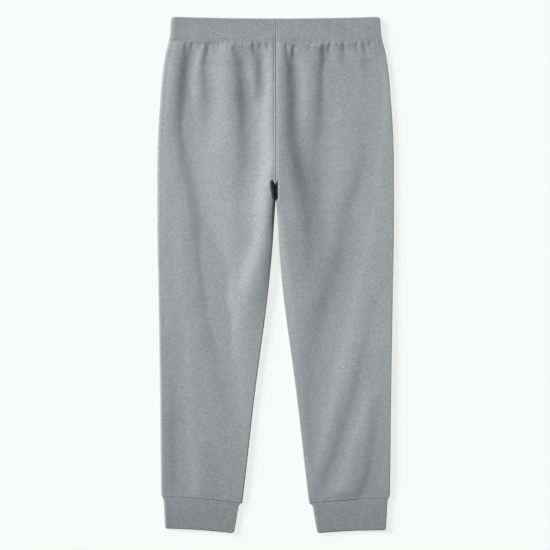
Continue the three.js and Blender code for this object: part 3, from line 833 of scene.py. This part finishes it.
@dataclass
class Wardrobe:
    """The finished materials, each built once."""

    materials: dict[str, bpy.types.Material] = field(default_factory=dict)

    def __post_init__(self) -> None:
        """Builds every finish."""
        group = marl_group()
        for finish in (FLEECE, RIB, THREAD):
            self.materials[finish.name] = finish.material(group)

    def dress(self, piece: bpy.types.Object, finish: Marl) -> None:
        """Gives a piece its only material."""
        piece.data.materials.clear()
        piece.data.materials.append(self.materials[finish.name])


# ---------------------------------------------------------------- fleece panels


@dataclass
class Panel:
    """Half of the back or front: torso and leg in one piece of fleece."""

    side: Side
    layer: Layer
    outline: Outline
    drape: Drape
    side_cells: int = 12
    flat_cells: int = 76
    inseam_cells: int = 12
    seam_cells: int = 12
    seam_gap: float = 0.3
    edge_gap: float = 0.12
    tight_angle: float = 14.0
    web_hang: float = 6.5  # how much later the web falls at its middle than beside it
    web_wide: float = 3.4
    web_fall: float = 9.0
    # Where the painted shade down the legs' inner edges has gone.
    shadow_end: float = 440.0
    right_side_roll: float = 0.9
    left_side_rolls: tuple[float, float] = (9.0, 4.5)  # at the hip, and on the leg
    left_inseam_roll: Curve = field(default=smooth_curve((340, 380, 420, 450), (5, 6, 4, 2)))
    right_inseam_roll: Curve = field(default=smooth_curve((358, 368, 400, 425), (1.4, 2.4, 2.4, 1.4)))

    LIP = ((0.1, 3.0, 1.8), (-0.3, 0.0, 0.8))  # columns: height, place above the hem, width

    @property
    def name(self) -> str:
        """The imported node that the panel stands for."""
        return f"{self.layer.word}_{self.side.word}"

    def side_roll(self, down: Array) -> Array:
        """How far in from the side the cloth bends over: softly on the left."""
        if self.side is Side.RIGHT:
            return self.right_side_roll + 0 * down
        return mix(*self.left_side_rolls, ease(down, 280, 560))

    def inseam_roll(self, down: Array) -> Array:
        """How far in from the inseam the cloth bends over."""
        if self.side is Side.RIGHT:
            return self.right_inseam_roll(down)
        return self.left_inseam_roll(down)

    def stations(self) -> Array:
        """Rows down the panel, closest where seams and the crotch need them."""
        return runs(
            ((self.outline.waist_seam, 16), (58.0, 28), (120.0, 68), (318.0, 28))
            + ((346.0, 4), (358.0, 12), (372.0, 188), (940.0, 20)),
            self.outline.hem,
        )

    def faces(self, across: Array, down: Array) -> tuple[Array, Array]:
        """The outer and inner height of this layer where it lies flat."""
        outer = self.drape.back(across, down)
        if self.layer is Layer.BACK:
            return outer, outer - self.drape.cloth
        return outer * 0, outer * 0 + self.drape.cloth

    def rolled(
        self, edge: Array, inward: int, radius: Array, angle: Array, down: Array, slanting: bool = False
    ) -> list[Array]:
        """Outer and inner points, across and height, of a rolled edge.

        Args:
            edge: Where the edge lies across, for each row.
            inward: The sign of the way in from the edge.
            radius: How far in the bend starts.
            angle: How far round the bend each column lies, a right angle at its top.
            down: How far down each row lies.
            slanting: Whether the cloth keeps its slant into the bend, or starts it level.

        Returns:
            Across and height of the outer face, then of the inner one.
        """
        drop, rise = 1 - np.cos(angle), np.sin(angle)
        cloth = self.drape.cloth
        outer = edge + inward * radius * drop
        inner = edge + inward * (cloth + (radius - cloth) * drop)
        flat = edge + inward * radius
        centre = self.drape.back(flat, down) / 2 + self.layer.value * self.seam_gap / 2
        face, lining = self.faces(outer if slanting else flat, down)
        return [outer, centre + (face - centre) * rise, inner, centre + (lining - centre) * rise]

    def slot(self, down: Array) -> list[Array]:
        """The inner columns above the legs: the roll into the slot, and the web in it.

        Above the crotch the web is the seat itself, and it falls into the slot below.
        """
        sign = self.side.value
        seam = self.outline.centre(down) + sign * self.edge_gap / 2
        if self.layer is Layer.FRONT:
            seam = seam + self.outline.front_seam_aside
        edge = self.outline.slot_edges[self.side](down)
        angle = np.linspace(math.pi / 2, 0, self.inseam_cells, endpoint=False)
        drop = 1 - np.cos(angle)
        radius = self.inseam_roll(down)
        web = mix(edge, seam, np.linspace(0, 1, self.seam_cells + 1))
        across = np.concatenate([edge + sign * radius * drop, web], axis=1)
        rise = np.concatenate([np.broadcast_to(np.sin(angle), np.shape(edge + drop)), web * 0], axis=1)
        top, lining = self.faces(across, down)
        if self.layer is Layer.FRONT:
            return [across, top, across, lining]
        hang = self.web_hang * bump(web - self.outline.centre_seam, self.web_wide)
        starts = self.outline.crotch - 4 + np.concatenate([drop * 0 + down * 0, hang], axis=1)
        fallen = ease(down, starts, starts + self.web_fall)
        floor = mix(top, self.drape.pressed, fallen)
        outer = mix(floor, top, rise)
        inset = np.concatenate([self.drape.cloth * np.cos(angle) + down * 0, web * 0], axis=1)
        return [across, outer, across + sign * inset * fallen, outer - self.drape.cloth]

    def inner_edge(self, down: Array) -> list[Array]:
        """The inner columns of every row: slot above, rolled inseam below."""
        sign = self.side.value
        tight = math.radians(self.tight_angle)
        angle = np.concatenate(
            [
                np.linspace(math.pi / 2, tight, self.inseam_cells, endpoint=False),
                np.linspace(tight, 0, self.seam_cells + 1),
            ]
        )
        edge = self.outline.inseams[self.side](down)
        leg = self.rolled(edge, sign, self.inseam_roll(down), angle, down, self.side is Side.LEFT)
        parted = ease(down, self.outline.legs_part - 3, self.outline.legs_part + 4)
        return [mix(above, below, parted) for above, below in zip(self.slot(down), leg)]

    def crevice(self, columns: int, down: Array) -> Array:
        """How much painted shade darkens each point of the back: in the slot between the legs and down
        the legs' inner edges to the shadow's end, where shadow falls.
        """
        if self.layer is Layer.FRONT:
            return np.zeros((down.size, columns))
        rising = np.sin(np.linspace(0, math.pi / 2, self.inseam_cells + 1))[:-1]
        depth = np.zeros(columns)
        depth[-self.seam_cells - 1 :] = 1.0
        depth[-self.seam_cells - 1 - self.inseam_cells : -self.seam_cells - 1] = rising
        inside = ease(down, self.outline.crotch - 2, self.outline.crotch + 10)
        over = ease(down, self.outline.legs_part + 4, self.shadow_end) ** 0.6
        # On the left the painted shade grows across the whole inner roll; on the right it is full over
        # most of the roll.
        low, high = (0.2, 1.0) if self.side is Side.LEFT else (0.0, 0.4)
        return ease(depth, low, high) * inside * (1 - over)

    def settled(self, across: Array, station: Array) -> Array:
        """How far down each point lies: level in the middle, along the seams at both ends."""
        outer, inner = across[:, :1], across[:, -1:]
        share = np.clip((across - outer) / (inner - outer), 0, 1)
        at_waist = 1 - ease(station, self.outline.waist_seam, 140)
        at_hem = ease(station, 700, self.outline.hem)
        waist = self.edge_gap + self.outline.dip(across, self.outline.waist_dip)
        hem = self.outline.hems[self.side].down(share) - self.outline.hem
        return station + at_waist * waist + at_hem * hem

    def lip(self, station: Array) -> Array:
        """The cloth's last few millimetres, which puff up and roll down to the cuff."""
        return relief(self.outline.hem - station, self.LIP)

    def build(self) -> bpy.types.Object:
        """Builds the panel as a closed wall of cloth."""
        station = self.stations()[:, None]
        sign = self.side.value
        shoulder = 2.4 * ease(station, self.outline.hem - 8, self.outline.hem) ** 2
        edge = sign * (self.outline.half_width(station) - shoulder)
        angle = np.linspace(0, math.pi / 2, self.side_cells, endpoint=False)
        side = self.rolled(edge, -sign, self.side_roll(station), angle, station)
        inner = self.inner_edge(station)
        start = edge - sign * self.side_roll(station)
        share = np.linspace(0, 1, self.flat_cells, endpoint=False)
        across = mix(start, inner[0][:, :1], share)
        face, lining = self.faces(across, station)
        flat = [across, face, across, lining]
        columns = [np.concatenate(parts, axis=1) for parts in zip(side, flat, inner)]
        down = self.settled(columns[0], station)
        puff = self.lip(station) * (columns[1] > self.drape.cloth)
        outer = placed(columns[0], down, columns[1] + puff)
        lining = placed(columns[2], down, columns[3])
        # Painted shade for the slot between the legs.
        shade = self.crevice(columns[0].shape[1], station)
        faces_out = sign * self.layer.value > 0
        return shell_mesh(f"fleece_{self.name}", outer, lining, faces_out, shade)


# ---------------------------------------------------------------- ribbed pieces


@dataclass(frozen=True)
class RibKnit:
    """Fine ribs that run up a piece."""

    pitch: float = 1.8
    deep: float = 0.16
    wander: float = 0.35
    level: float = 0.64

    @property
    def proud(self) -> float:
        """How far the ribs stand out from the piece's own form."""
        return self.deep * (1 - self.level)

    def relief(self, along: Array, down: Array) -> Array:
        """How far the knit stands out at a place along the piece."""
        phase = along / self.pitch + self.wander * soft_noise(along / 9, down / 30, 5)
        return self.deep * (np.abs(np.sin(np.pi * phase)) - self.level)


def turn_up(turn: Array) -> Array:
    """Which way a column of a flattened tube looks: 1 on top, -1 underneath."""
    return np.where(np.mod(turn, 2.0) <= 1, 1.0, -1.0)


def flat_tube(
    left: Array, right: Array, rolls: tuple[float, float], half: Array, mid: float, turn: Array
) -> tuple[Array, Array, Array]:
    """Points round a flattened tube.

    Args:
        left: Its left edge across, for each row.
        right: Its right edge across.
        rolls: How far in from the left and the right edge it bends.
        half: Half its thickness.
        mid: The height of its middle.
        turn: Where each column lies, from 0 at the left edge over the top to 1 at the right
            edge, and on to 2 at the left edge again underneath.

    Returns:
        Across, height, and which way is out: 1 on top, -1 underneath and between at the edges.
    """
    lap = np.mod(turn, 2.0)
    upper = turn_up(turn)
    share = np.where(lap <= 1, lap, 2 - lap)
    width = right - left
    inset = np.clip(np.minimum(share * width / rolls[0], (1 - share) * width / rolls[1]), 0, 1)
    bend = np.sqrt(np.maximum(1 - (1 - inset) ** 2, 0))
    across = mix(left, right, share)
    return across, mid + upper * half * bend, upper * bend


@dataclass(frozen=True)
class RibTube:
    """A flattened tube of rib: one thick wall round a closed slit."""

    wall: float
    slit: float
    rolls: tuple[float, float]  # how far in from its left and right edge it bends
    knit: RibKnit = RibKnit()

    LEAST_ROLL = 0.8

    @property
    def top(self) -> float:
        """The height of its upper face."""
        return 2 * self.wall + self.slit

    def walls(self, left: Array, right: Array, pinch: Array, turn: Array) -> tuple[Array, ...]:
        """Points round its outer face and its lining.

        Args:
            left: Its left edge across, for each row.
            right: Its right edge across.
            pinch: How much thinner each face is there.
            turn: Where each column lies, as flat_tube takes it.

        Returns:
            Across, height and which way is out, then across and height of the lining.
        """
        mid = self.top / 2 + self.knit.proud
        slit = self.slit / 2 + 0 * pinch
        rolls = tuple(max(roll - self.wall, self.LEAST_ROLL) for roll in self.rolls)
        outer = flat_tube(left, right, self.rolls, self.top / 2 - pinch, mid, turn)
        lining = flat_tube(left + self.wall, right - self.wall, rolls, slit, mid, turn)
        return (*outer, *lining[:2])


@dataclass
class Waistband:
    """Rib doubled over elastic, closed at the centre back."""

    outline: Outline
    drape: Drape
    tube: RibTube = RibTube(wall=3.5, slit=0.5, rolls=(10.0, 1.0))
    top_dip: float = 3.5
    top_round: float = 2.6
    corner: float = 6.5
    columns: int = 1888
    seam_gap: float = 0.12

    # Columns: height, place aside, width. They are the strip and its two grooves.
    SEAM = ((0.25, 1.9, 1.1), (-0.2, 0.0, 0.8), (-0.14, 3.9, 0.8))

    def pinch(self, down: Array) -> Array:
        """How much thinner each face is near the folded top and the seam."""
        stitched = 0.1 * bump(down - self.outline.waist_seam + 2.4, 0.7)
        return 1.9 * rounded(1 - down / self.top_round) + stitched

    def raised(self, across: Array, down: Array) -> Array:
        """How far the folds below the seam lift or press the back of the band."""
        seam = self.outline.waist_seam
        folds = self.drape.back(across, np.full_like(across, seam))
        return (folds - self.tube.top) * ease(down, 4, seam) ** 1.4

    def seam_relief(self, across: Array) -> Array:
        """The groove at the centre back, with the raised strip and its stitches beside it."""
        return relief(across - self.outline.centre_seam, self.SEAM)

    def build(self) -> bpy.types.Object:
        """Builds the band as one closed wall with its seam open by the seam gap."""
        down = runs(((0.0, 8), (3.0, 10), (41.0, 10)), self.outline.waist_seam)[:, None]
        edge = self.outline.half_width(down) - self.corner * rounded(1 - down / self.corner)
        gap = self.seam_gap / (4 * edge)
        middle = 0.5 + self.outline.centre_seam / (2 * edge)
        share = np.linspace(0, 1, self.columns + 1)
        turn = mix(middle + gap, middle + 2 - gap, share)
        walls = self.tube.walls(-edge, edge, self.pinch(down), turn)
        across, height, out, lining, lining_height = walls
        along = share * 4 * edge
        relief = self.tube.knit.relief(along, down) + self.seam_relief(across) * (out > 0.5)
        lift = self.raised(across, down)
        height = height + lift * np.maximum(out, 0)
        lining_height = lining_height + np.maximum(lift, 0) * (turn_up(turn) > 0)
        dip = self.outline.dip(across, 1.0) * mix(
            self.top_dip, self.outline.waist_dip, down / self.outline.waist_seam
        )
        outer = placed(across, down + dip, height + relief * out)
        inner = placed(lining, down + dip, lining_height)
        return shell_mesh("rib_waistband", outer, inner, True)


@dataclass
class Cuff:
    """A rib tube that gathers one ankle, closed in line with the inseam."""

    side: Side
    outline: Outline
    tube: RibTube = RibTube(wall=2.8, slit=0.6, rolls=(5.0, 1.0))
    outer_top: float = 226.0
    outer_neck: float = 224.2
    outer_bottom: float = 220.8
    inner_top: float = 69.2
    inner_neck: float = 72.6
    inner_bottom: float = 83.0
    neck: float = 0.1
    bottom_bow: float = 1.4
    bottom_round: float = 2.2
    corner: float = 4.0
    columns: int = 672
    width: float = 150.0  # which the ribs are spread over
    seam_gap: float = 0.15

    @property
    def length(self) -> float:
        """From the hem to the end of the cuff along the inseam."""
        return LENGTH - self.outline.hems[self.side].inner

    @property
    def bottom_outer(self) -> float:
        """How far down the cuff ends at the side."""
        return 1023.0 if self.side is Side.LEFT else 1026.5

    def edges(self, share: Array) -> tuple[Array, Array]:
        """The outer and inner edge across, at a share of the way down."""
        past = ease(share, 0, self.neck)
        outer = mix(self.outer_top, self.outer_neck, past)
        outer = outer + (self.outer_bottom - self.outer_neck) * share
        inner = mix(self.inner_top, self.inner_neck, past)
        inner = inner + (self.inner_bottom - self.inner_neck) * share
        deep = (1 - share) * self.length
        corner = self.corner * rounded(1 - deep / self.corner)
        return outer - corner, inner + corner

    def pinch(self, share: Array) -> Array:
        """How much thinner each face is at the seam and the folded bottom."""
        deep = (1 - share) * self.length
        return 1.6 * rounded(1 - deep / self.bottom_round) + 0.2 * bump(share, 0.02)

    def build(self) -> bpy.types.Object:
        """Builds the cuff as one closed wall."""
        share = runs(((0.0, 8), (0.12, 20), (0.92, 8)), 1.0)[:, None]
        outer_edge, inner_edge = self.edges(share)
        sign = self.side.value
        turn = np.linspace(0.0005, 1.9995, self.columns + 1)
        left, right = sorted((sign * inner_edge, sign * outer_edge), key=lambda edge: edge[0, 0])
        walls = self.tube.walls(left, right, self.pinch(share), turn)
        across, height, out, lining, lining_height = walls
        inward = np.clip((sign * across - outer_edge) / (inner_edge - outer_edge), 0, 1)
        top = self.outline.hems[self.side].down(inward) + self.seam_gap
        bow = self.bottom_bow * np.sin(np.pi * inward)
        bottom = mix(self.bottom_outer, LENGTH, inward) - bow
        down = mix(top, bottom, share)
        along = np.where(turn <= 1, turn, 2 - turn) * self.width
        relief = self.tube.knit.relief(along, down)
        outer = placed(across, down, height + relief * out)
        inner = placed(lining, down, lining_height)
        return shell_mesh(f"rib_cuff_{self.side.word}", outer, inner, True)


# ---------------------------------------------------------------- stitches


@dataclass(frozen=True)
class Thread:
    """Sewing thread, laid as a row of separate stitches."""

    radius: float = 0.24
    stitch: float = 2.5
    pitch: float = 3.2
    sides: int = 6

    def capsules(self, name: str, lines: Sequence[Array]) -> bpy.types.Object:
        """One mesh with a short capsule for each stitch along the lines.

        Args:
            name: The new object's name.
            lines: Points in millimetres along each line of stitching.

        Returns:
            The joined stitches.
        """
        starts, ends = [], []
        for line in lines:
            steps = np.linalg.norm(np.diff(line, axis=0), axis=1)
            length = np.concatenate([[0], np.cumsum(steps)])
            first = np.arange(0.0, length[-1] - self.stitch, self.pitch)
            starts.append([np.interp(first, length, line[:, n]) for n in range(3)])
            ends.append([np.interp(first + self.stitch, length, line[:, n]) for n in range(3)])
        start = np.concatenate([np.stack(part, axis=1) for part in starts])
        end = np.concatenate([np.stack(part, axis=1) for part in ends])
        return mesh_object(name, *self.tubes(start, end))

    def tubes(self, start: Array, end: Array) -> tuple[Array, list[tuple[int, ...]]]:
        """Points, in metres, and faces of a round-ended tube for each stitch."""
        axis = end - start
        axis = axis / np.linalg.norm(axis, axis=1, keepdims=True)
        beside = np.cross(axis, [0.0, 0.0, 1.0])
        beside = beside / np.linalg.norm(beside, axis=1, keepdims=True)
        above = np.cross(beside, axis)
        turn = np.arange(self.sides) * 2 * math.pi / self.sides
        rings = []
        for along, thick in ((0.0, 0.45), (0.15, 1.0), (0.85, 1.0), (1.0, 0.45)):
            centre = mix(start, end, along)[:, None, :]
            ring = (
                np.cos(turn)[None, :, None] * beside[:, None, :]
                + np.sin(turn)[None, :, None] * above[:, None, :]
            )
            rings.append(centre + ring * self.radius * thick)
        points = np.stack(rings, axis=1).reshape(-1, 3) * MM
        faces: list[tuple[int, ...]] = []
        last = (len(rings) - 1) * self.sides
        for base in range(0, len(points), len(rings) * self.sides):
            for ring in range(len(rings) - 1):
                for n in range(self.sides):
                    a = base + ring * self.sides + n
                    b = base + ring * self.sides + (n + 1) % self.sides
                    faces.append((a, b, b + self.sides, a + self.sides))
            faces.append(tuple(base + n for n in reversed(range(self.sides))))
            faces.append(tuple(base + last + n for n in range(self.sides)))
        return points, faces


@dataclass
class Stitching:
    """The rows of stitches that show."""

    outline: Outline
    drape: Drape
    band: Waistband
    thread: Thread = Thread()
    edge_margin: float = 12.0
    seam_side: float = -5.4
    above_seam: float = 2.4
    proud: float = 0.05  # above the back's face
    sunk: float = 0.15  # into the waistband's face
    underside: float = 0.2

    def waist_lines(self) -> list[Array]:
        """The two rows along the waist seam, on both layers."""
        seam_end = self.outline.half_width(np.array([self.outline.waist_seam]))[0]
        reach = seam_end - self.edge_margin
        across = np.linspace(-reach, reach, 400)
        seam = self.outline.seam_line(across)
        low = seam + STITCH_LINE
        high = seam - self.above_seam
        return [
            placed(across, low, self.drape.back(across, low) + self.proud),
            placed(across, low, np.full_like(across, self.underside)),
            placed(across, high, np.full_like(across, self.band.tube.top - self.sunk)),
            placed(across, high, np.full_like(across, self.underside)),
        ]

    def centre_lines(self) -> list[Array]:
        """The row beside the centre back and centre front seams."""
        down = np.linspace(52.0, self.outline.crotch - 10, 200)
        across = np.full_like(down, self.outline.centre_seam + self.seam_side)
        return [
            placed(across, down, self.drape.back(across, down) + self.proud),
            placed(across, down, np.full_like(across, self.underside)),
        ]

    def build(self) -> list[bpy.types.Object]:
        """Builds the rows of each seam as one piece."""
        rows = {"waist_stitches": self.waist_lines(), "centre_stitches": self.centre_lines()}
        return [self.thread.capsules(name, lines) for name, lines in rows.items()]


# ---------------------------------------------------------------- studio


@dataclass
class Studio:
    """A pale floor, a broad key light from the upper left, and the camera straight above."""

    field_width: float = 1.1
    camera_height: float = 6.0
    camera_across: float = -0.0010
    camera_along: float = -0.0003
    sensor: float = 36.0
    floor_size: float = 12.0
    floor_below: float = 0.0004
    key_elevation: float = 23.0
    key_turn: float = 152.0
    key_spread: float = 20.0
    key_level: float = 0.82
    fill_level: float = 0.18
    floor_tone: float = 0.16
    floor_level: float = 0.956  # how bright it looks in the open

    def floor(self) -> None:
        """A plain floor that is nearly white and takes only a faint shadow."""
        reach = self.floor_size / 2
        corners = np.array([(-1, -1), (1, -1), (1, 1), (-1, 1)]) * reach
        points = np.column_stack([corners, np.full(4, -self.floor_below)])
        made = mesh_object("floor", points, [(0, 1, 2, 3)])
        finish = bpy.data.materials.new("floor")
        finish.use_nodes = True
        shader = finish.node_tree.nodes["Principled BSDF"]
        glow = self.floor_level - self.floor_tone
        set_inputs(shader, {"Base Color": grey(self.floor_tone), "Roughness": 1.0})
        set_inputs(shader, {"Specular IOR Level": 0.0, "Emission Strength": 1.0})
        set_inputs(shader, {"Emission Color": (0.985 * glow, glow, 0.981 * glow, 1.0)})
        made.data.materials.append(finish)

    def key(self) -> None:
        """The low soft light from the upper left that draws the folds."""
        lamp = bpy.data.lights.new("key", "SUN")
        lamp.angle = math.radians(self.key_spread)
        lamp.energy = self.key_level * math.pi / math.sin(math.radians(self.key_elevation))
        lamp.color = (0.955, 1.0, 1.03)
        made = bpy.data.objects.new("key", lamp)
        turn = math.radians(self.key_turn)
        made.rotation_euler = (math.radians(90 - self.key_elevation), 0, turn + math.pi / 2)
        bpy.context.scene.collection.objects.link(made)

    def fill(self) -> None:
        """An even light from all round."""
        world = bpy.data.worlds.new("studio")
        world.use_nodes = True
        background = world.node_tree.nodes["Background"]
        set_inputs(background, {"Color": (1.02, 0.99, 1.06, 1.0), "Strength": self.fill_level})
        bpy.context.scene.world = world

    def camera(self) -> None:
        """A long lens straight above the pants."""
        lens = bpy.data.cameras.new("camera")
        lens.sensor_width = self.sensor
        lens.lens = self.sensor * self.camera_height / self.field_width
        lens.clip_end = 50.0
        made = bpy.data.objects.new("camera", lens)
        made.location = (self.camera_across, self.camera_along, self.camera_height)
        bpy.context.scene.collection.objects.link(made)
        bpy.context.scene.camera = made

    def build(self) -> None:
        """Sets up the whole studio."""
        self.camera()
        self.floor()
        self.key()
        self.fill()
        scene = bpy.context.scene
        scene.view_settings.view_transform = "Standard"
        scene.view_settings.look = "None"


# ---------------------------------------------------------------- the pants


def seat(piece: bpy.types.Object, slot: str, *nodes: str) -> None:
    """Rides a piece on the pants' one body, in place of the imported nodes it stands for."""
    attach(piece, "root")
    if nodes:
        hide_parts(*nodes)
    log.info("%s: %d faces", piece.name, len(piece.data.polygons))


def main() -> None:
    """Builds the studio and the pants."""
    logging.basicConfig(level=logging.INFO, format="%(name)s %(message)s")
    Studio().build()
    wardrobe = Wardrobe()
    outline = Outline()
    drape = Drape(outline)
    for side in Side:
        for layer in Layer:
            panel = Panel(side, layer, outline, drape)
            piece = panel.build()
            wardrobe.dress(piece, FLEECE)
            seat(piece, "fleece", panel.name)
        cuff = Cuff(side, outline)
        piece = cuff.build()
        wardrobe.dress(piece, RIB)
        seat(piece, "rib", f"cuff_{side.word}")
    band = Waistband(outline, drape)
    piece = band.build()
    wardrobe.dress(piece, RIB)
    seat(piece, "rib", "waistband")
    for row in Stitching(outline, drape, band).build():
        wardrobe.dress(row, THREAD)
        seat(row, "fleece")


if __name__ == "__main__":
    main()
